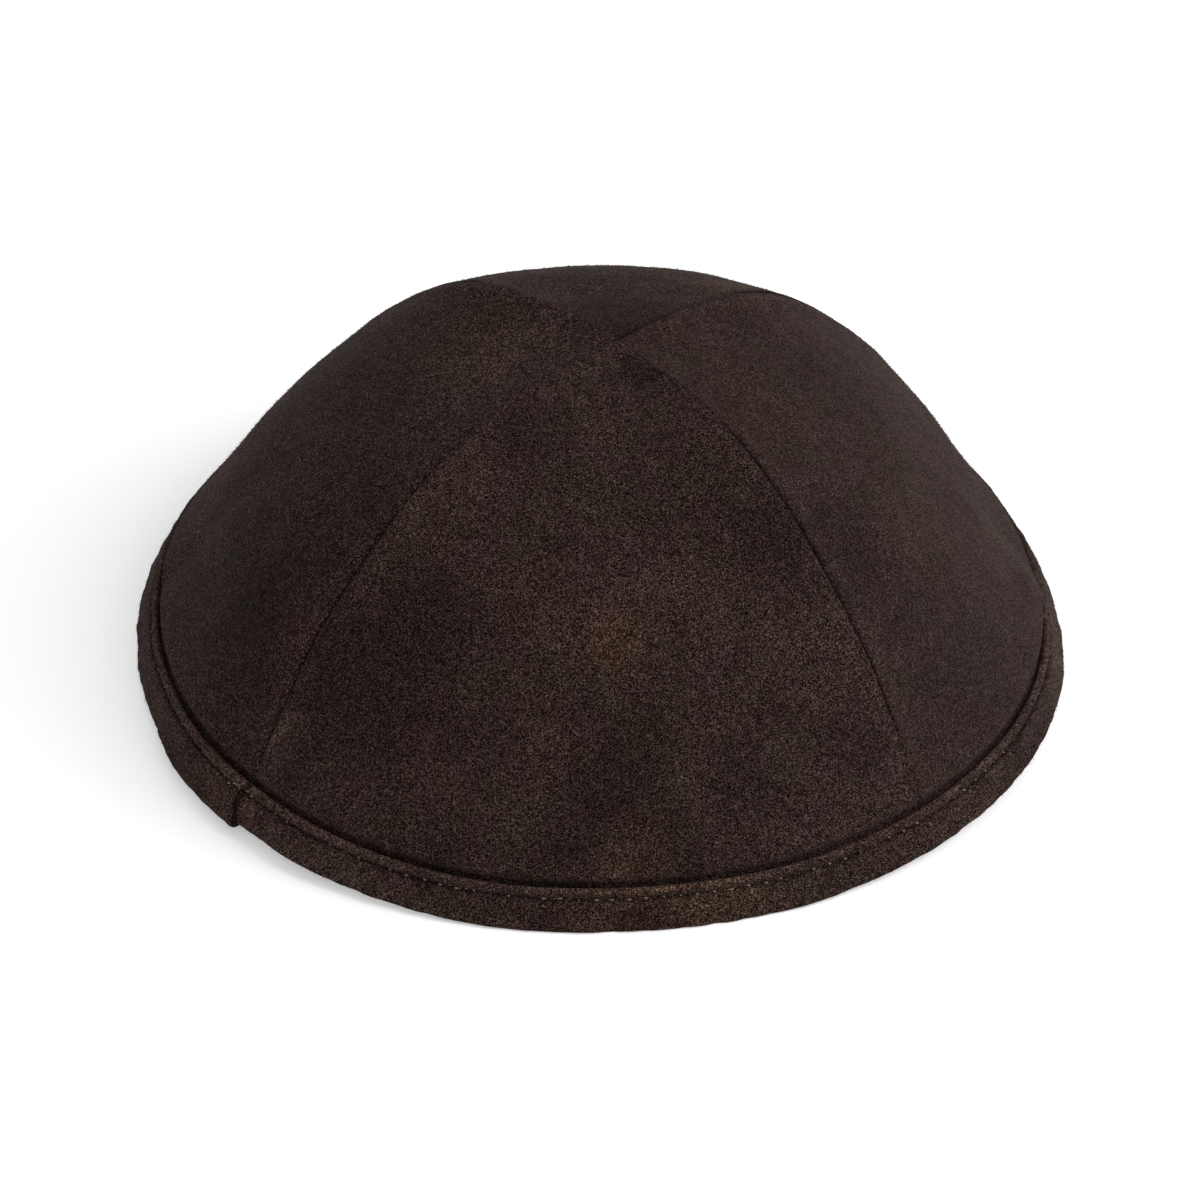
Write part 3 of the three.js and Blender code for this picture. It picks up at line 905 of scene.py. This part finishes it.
# Patches of each piece's nap, given by their middle and reach in millimetres and the factors that tint
# them: lighter and darker tone where the nap has been stroked, and the painted light and shade marked
# below
PATCH_COLUMNS = ("x", "y", "z", "reach", "red", "green", "blue")
NAP_TONE_AND_LIGHT_PATCHES = {
    "front_panel": (
        (2.2, -56.7, 43.1, 6, 1.42, 1.27, 1.0),
        (7.5, -79.9, 11.3, 7, 1.25, 1.25, 1.0),
        (-11, -67.6, 29.9, 9, 1.12, 1.1, 1.06),
        (-22, -68.0, 28.0, 7, 0.76, 0.74, 0.8),
        (-12, -51.3, 47.9, 8, 1.14, 1.1, 1.04),
        (-30, -51.9, 43.1, 9, 0.72, 0.68, 0.74),
        (-12.5, -22.6, 64.3, 7, 0.76, 0.74, 0.76),
        (10, -37.7, 58.0, 8, 0.9, 0.88, 0.9),
        (33, -38.5, 53.0, 10, 0.6, 0.57, 0.62),
        (9, -68.4, 28.5, 8, 0.76, 0.74, 0.72),
        (27, -70.1, 20.7, 7, 0.7, 0.66, 0.74),
        (47, -61.7, 22.1, 7, 0.76, 0.72, 0.8),
        (1, -74.2, 20.4, 9, 0.7, 0.68, 0.68),
        (-2, -65.6, 33.0, 5, 0.76, 0.74, 0.74),
        (31, -62.2, 30.8, 6, 0.8, 0.78, 0.78),
        (-7, -80.0, 10.0, 7, 0.72, 0.7, 0.7),
        (14, -79.0, 12.0, 7, 0.74, 0.7, 0.74),
        (-30, -76.0, 12.5, 8, 0.8, 0.78, 0.8),
        (-27.6, -70.4, 21.6, 8, 1.18, 1.15, 1.12),
        (-32.6, -33.2, 56.6, 10, 1.18, 1.15, 1.1),
        # Painted shade below the apex, by the front right seam
        (6.5, -6.4, 67.6, 5, 0.6, 0.58, 0.6),
        (16.0, -50.0, 48.3, 9, 1.12, 1.1, 1.05),
        (-59.5, -55.5, 19.5, 5, 1.5, 1.6, 1.5),
        (-45.0, -56.0, 31.0, 15, 0.66, 0.6, 0.66),
    ),
    "left_panel": (
        (-45.0, -29.0, 50.0, 8, 0.82, 0.8, 0.8),
        (-54.6, -16.5, 45.0, 8, 1.0, 1.08, 0.92),
        (-23.6, 6.8, 63.9, 11, 1.12, 1.16, 0.92),
        (-75.4, 10.0, 19.1, 12, 1.14, 1.0, 1.08),
        (-62.0, -38.0, 30.0, 15, 0.86, 0.74, 0.8),
        (-63.0, -31.0, 32.0, 9, 0.66, 0.66, 0.66),
        (-33.0, -18.0, 60.1, 7, 1.2, 1.2, 1.14),
        (-13.0, 3.2, 65.9, 8, 1.36, 1.38, 1.28),
        (-22.3, -5.0, 64.3, 7, 1.38, 1.38, 1.3),
        (-47.0, -25.0, 50.0, 6, 1.3, 1.22, 1.22),
        (-52.5, -46.5, 35.0, 8, 1.42, 1.34, 1.36),
        # Painted sheen along the left rim at the top
        (-68.0, 36.0, 22.0, 18, 1.8, 1.6, 1.6),
        (-66.0, -14.0, 33.0, 9, 0.8, 0.86, 0.8),
    ),
    "right_panel": (
        (18.3, -1.8, 65.8, 11, 1.12, 1.12, 1.06),
        (43.0, -35.0, 49.5, 8, 0.7, 0.7, 0.72),
        (50.0, -40.0, 41.3, 10, 0.84, 0.82, 0.88),
        (46.0, 7.3, 54.0, 11, 0.84, 0.86, 0.86),
        (74.0, -22.0, 21.0, 12, 1.0, 1.0, 1.1),
        (31.0, -14.1, 62.3, 8, 1.16, 1.12, 0.92),
        (59.1, -20.9, 41.3, 10, 1.08, 1.12, 0.92),
        (66.0, -38.0, 24.0, 17, 0.84, 0.84, 0.92),
    ),
    "back_panel": (
        # Painted shade on the back panel by the apex
        (2.0, 12.0, 66.4, 11, 0.66, 0.66, 0.64),
        # Painted highlight along the back panel's top edge
        (25.2, 27.0, 62.5, 8, 1.7, 1.55, 1.4),
    ),
    "rim_band": (
        (6.0, -86.5, 3.5, 12, 1.3, 1.26, 1.05),
        (24.0, -83.0, 3.0, 8, 1.25, 1.22, 1.05),
        (9.0, -87.0, 0.5, 5, 0.6, 0.55, 0.62),
        (-8.0, -88.0, 0.0, 5, 0.62, 0.58, 0.62),
        (-52.0, -69.0, 5.0, 15, 1.32, 1.36, 1.34),
        (-67.0, -56.0, 9.0, 8, 1.5, 1.5, 1.38),
        (86.0, -6.0, 5.0, 14, 1.34, 1.34, 1.38),
        (79.0, -34.0, 3.0, 9, 0.7, 0.72, 0.74),
        (74.0, -45.0, 3.0, 5, 0.7, 0.74, 0.7),
    ),
}


# The colours of the suede, the sizes of its speckles and how strongly they show. The hues wander
# between olive and purple, and the deep nap is redder than the tips of its fibres.
CROWN_DARK = (0.0285, 0.0158, 0.0138)
CROWN_LIGHT = (0.0515, 0.0315, 0.027)
BAND_DARK = (0.0295, 0.0168, 0.0147)
BAND_LIGHT = (0.0575, 0.0355, 0.0288)
BACK_DARK = (0.034, 0.024, 0.02)
BACK_LIGHT = (0.044, 0.031, 0.026)
SPECKLES = {
    "clouds": {"size": 17 * MM, "detail": 3.0, "distortion": 0.6, "roughness": 0.55},
    "blotches": {"size": 3.6 * MM, "detail": 3.0, "distortion": 0.8, "roughness": 0.6},
    "hues": {"size": 8 * MM, "detail": 3.0, "distortion": 0.6, "roughness": 0.5},
    "tufts": {"size": 0.27 * MM, "detail": 0.5, "distortion": 0.4, "roughness": 0.5},
}
WINDING = {"detail": 0.5, "distortion": 1.2, "roughness": 0.5}
CURLS = {"size": 0.52 * MM, "width": 0.11, "contrast": 0.66}
TUFTS = {"range": (0.4, 0.6), "contrast": 0.85}
BLOTCH_RANGE = (0.3, 0.7)
TINT_RANGES = (
    {"of": "hues", "low": 0.36, "high": 0.64, "first": (0.97, 1.035, 0.94), "second": (1.035, 0.97, 1.045)},
    {"of": "grain", "low": 0.3, "high": 2.0, "first": (1.14, 0.98, 0.9), "second": (0.87, 1.0, 1.04)},
)
PATCH_EDGE = {"inner": 0.3, "outer": 1.6}
PATCH_DRIFT = {"size": 6 * MM, "reach": 12 * MM}
FIBRE_BUMP = {"strength": 0.5, "height": 0.13 * MM}


def patch_tint(tree, place, patch):
    """A colour factor that is the patch's tint at its middle and 1 away from it."""
    middle = tuple(patch[axis] * MM for axis in ("x", "y", "z"))
    reach = patch["reach"] * MM
    away = vector_math(tree, "DISTANCE", place, middle)["Value"]
    inside = ramp(tree, away, PATCH_EDGE["outer"] * reach, PATCH_EDGE["inner"] * reach, kind="SMOOTHSTEP")
    return mixed(tree, inside, (1, 1, 1, 1), (patch["red"], patch["green"], patch["blue"], 1))


def wandered(tree, place, size, reach):
    """The place shifted here and there by smooth noise, so that patches get ragged edges."""
    drift = add_node(tree, "ShaderNodeTexNoise", {"Vector": place, "Scale": 1 / size, "Detail": 4.0})
    shift = vector_math(tree, "SUBTRACT", drift.outputs["Color"], (0.5, 0.5, 0.5))[0]
    return vector_math(tree, "ADD", place, tinted(tree, shift, (reach, reach, reach)))[0]


def strands(tree, place, size, width):
    """Curly fibres: 1 along lines that wind through the nap and 0 between them."""
    winding = speckle(tree, place, size, **WINDING)
    off = number_math(tree, "ABSOLUTE", number_math(tree, "SUBTRACT", winding, 0.5))
    return ramp(tree, off, width, 0.0, kind="SMOOTHSTEP")


def fibres(tree, place, nap):
    """The shade of the curls and tufts, a factor about 1, and their height for the bump."""
    curls = strands(tree, place, CURLS["size"], CURLS["width"])
    tufts = speckle(tree, place, **SPECKLES["tufts"])
    curl_shade = spread_about_one(tree, curls, 0, 1, CURLS["contrast"] * nap)
    tuft_shade = spread_about_one(tree, tufts, *TUFTS["range"], TUFTS["contrast"] * nap)
    return number_math(tree, "MULTIPLY", curl_shade, tuft_shade), number_math(tree, "ADD", curls, tufts)


def suede(name, dark, light, piece=None, mottle=0.16, nap=1.0, raised_highlight=1.3):
    """Suede: curly fibres over clouds and blotches, with a bump from the fibres. It is darker where it is
    pressed, partly for pressed nap and partly as painted shade, and lighter with a painted highlight
    where the cloth stands up."""
    material, tree = new_material(name)
    place = add_node(tree, "ShaderNodeTexCoord").outputs["Object"]
    clouds, blotches, hues = [speckle(tree, place, **SPECKLES[kind])
                              for kind in ("clouds", "blotches", "hues")]
    colour = mixed(tree, clouds, (*dark, 1), (*light, 1))
    drifted = wandered(tree, place, PATCH_DRIFT["size"], PATCH_DRIFT["reach"])
    for row in NAP_TONE_AND_LIGHT_PATCHES.get(piece, ()):
        colour = tinted(tree, colour, patch_tint(tree, drifted, dict(zip(PATCH_COLUMNS, row))))
    grain, height = fibres(tree, place, nap)
    for row in TINT_RANGES:
        share = ramp(tree, grain if row["of"] == "grain" else hues, row["low"], row["high"])
        colour = tinted(tree, colour, mixed(tree, share, (*row["first"], 1), (*row["second"], 1)))
    shade = number_math(tree, "MULTIPLY", grain, spread_about_one(tree, blotches, *BLOTCH_RANGE, mottle))
    # Painted shade and highlight: the "pressed" mark darkens the colour, partly for pressed nap and partly
    # as painted shade, and the mark of cloth that stands up lightens it as a painted highlight.
    for mark_name, factor in (("pressed", PRESSED_NAP_AND_PAINTED_SHADE), ("raised_highlight", raised_highlight)):
        amount = add_node(tree, "ShaderNodeAttribute", attribute_name=mark_name).outputs["Fac"]
        shade = number_math(tree, "MULTIPLY", shade, ramp(tree, amount, 0, 1, 1.0, factor))
    colour = tinted(tree, colour, shade)
    bump = add_node(tree, "ShaderNodeBump", {
        "Height": height, "Strength": FIBRE_BUMP["strength"] * nap,
        "Distance": FIBRE_BUMP["height"]}).outputs["Normal"]
    finish_material(tree, {
        "Base Color": colour, "Roughness": ramp(tree, blotches, 0, 1, 0.8, 1.0),
        "Specular IOR Level": 0.04, "Sheen Weight": 0.06, "Sheen Roughness": 0.35,
        "Sheen Tint": (1.0, 0.84, 0.8, 1), "Normal": bump})
    return material


def loose_fibre(name, colour):
    """The fibres of the nap: one colour each, since a fibre is too thin to carry a pattern."""
    material, tree = new_material(name)
    finish_material(tree, {
        "Base Color": (*colour, 1), "Roughness": 0.85, "Specular IOR Level": 0.1})
    return material


def sewing_thread():
    material, tree = new_material("sewing_thread")
    place = add_node(tree, "ShaderNodeTexCoord").outputs["Object"]
    fibre = speckle(tree, place, 0.25 * MM, detail=2.0, distortion=0.5)
    colour = mixed(tree, fibre, (0.035, 0.022, 0.016, 1), (0.38, 0.3, 0.22, 1))
    finish_material(tree, {
        "Base Color": colour, "Roughness": 0.5, "Specular IOR Level": 0.3})
    return material


def pale_floor():
    material, tree = new_material("pale_floor")
    finish_material(tree, {
        "Base Color": (0.95, 0.95, 0.95, 1), "Roughness": 0.9, "Specular IOR Level": 0.1,
        "Emission Color": (1, 1, 1, 1), "Emission Strength": FLOOR_GLOW})
    return material


# The scene

def dress(piece, node, materials):
    for material in materials:
        piece.data.materials.append(material)
    if node:
        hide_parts(node)
    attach(piece, "root")


def add_camera():
    tilt = math.radians(VIEW["elevation"])
    roll = math.radians(VIEW["roll"])
    right = Vector((1, 0, 0))
    up = Vector((0, math.sin(tilt), math.cos(tilt)))
    back = Vector((0, -math.cos(tilt), math.sin(tilt)))
    across = right * math.cos(roll) + up * math.sin(roll)
    upward = up * math.cos(roll) - right * math.sin(roll)
    target = Vector((VIEW["x"], 0, VIEW["z"]))
    camera = new_object("camera", bpy.data.cameras.new("camera"))
    turned = Matrix((across, upward, back)).transposed().to_4x4()
    camera.matrix_world = Matrix.Translation(target + back * VIEW["distance"]) @ turned
    camera.data.sensor_width = SENSOR
    camera.data.lens = FOCAL_PIXELS / FRAME_PIXELS * SENSOR
    camera.data.clip_start = 0.01
    camera.data.clip_end = 20
    bpy.context.scene.camera = camera


FLOOR_SIZE = 8
LIT_POINT = (0, 0, 0.03)
LIGHTS = (
    {"name": "key", "place": (0.96, -0.14, 0.74), "size": 0.9, "power": 10.5},
    {"name": "fill", "place": (-0.6, -0.8, 0.7), "size": 1.0, "power": 0.8},
)
WORLD_LIGHT = 0.5
FLOOR_GLOW = 0.35


def add_lights():
    for light in LIGHTS:
        lamp = bpy.data.lights.new(light["name"], "AREA")
        lamp.size = light["size"]
        lamp.energy = light["power"]
        holder = new_object(light["name"], lamp)
        holder.location = light["place"]
        towards = Vector(LIT_POINT) - holder.location
        holder.rotation_euler = towards.to_track_quat("-Z", "Y").to_euler()
    world = bpy.data.worlds.new("studio")
    bpy.context.scene.world = world
    world.use_nodes = True
    background = world.node_tree.nodes["Background"]
    background.inputs["Color"].default_value = (1, 1, 1, 1)
    background.inputs["Strength"].default_value = WORLD_LIGHT


def add_floor():
    deselect_all()
    bpy.ops.mesh.primitive_plane_add(size=FLOOR_SIZE)
    floor = bpy.context.active_object
    floor.name = "floor"
    floor.data.materials.append(pale_floor())


add_camera()
add_lights()
add_floor()
bpy.context.scene.view_settings.view_transform = "Standard"

crown_back = suede("crown_back", BACK_DARK, BACK_LIGHT, mottle=0.15, nap=0.6)
band_face = suede("rim_band_face", BAND_DARK, BAND_LIGHT, "rim_band", mottle=0.24, raised_highlight=1.6)
nap_fibres = [loose_fibre(row["name"], row["colour"]) for row in NAP_TONES]
thread = sewing_thread()

for number, panel in enumerate(PANELS):
    piece = shape_panel(panel)
    tints = [share * panel["light"] for share in panel["tint"]]
    dark, light = [[a * b for a, b in zip(colour, tints)] for colour in (CROWN_DARK, CROWN_LIGHT)]
    face = suede(panel["node"] + "_face", dark, light, panel["node"], nap=panel["nap"])
    dress(piece, panel["node"], (face, crown_back))
    nap = grow_nap(panel["node"] + "_nap", piece, NAP["panel"], number)
    dress(nap, None, nap_fibres)

binding = shape_binding()
dress(binding, "rim_band", (band_face, crown_back))
nap = grow_nap("rim_band_nap", binding, NAP["band"], len(PANELS))
dress(nap, None, nap_fibres)

stitch = model_stitch()
topstitch = topstitching(stitch)
on_leaf = {"inner": False, "pulled_in": -BACK_TACKS_PROUD}
back_tacks = sew("lap_back_tacks", stitch, [{**row, **on_leaf} for row in BACK_TACKS])
bpy.data.objects.remove(stitch)
for sewn in (topstitch, back_tacks):
    dress(sewn, None, (thread,))
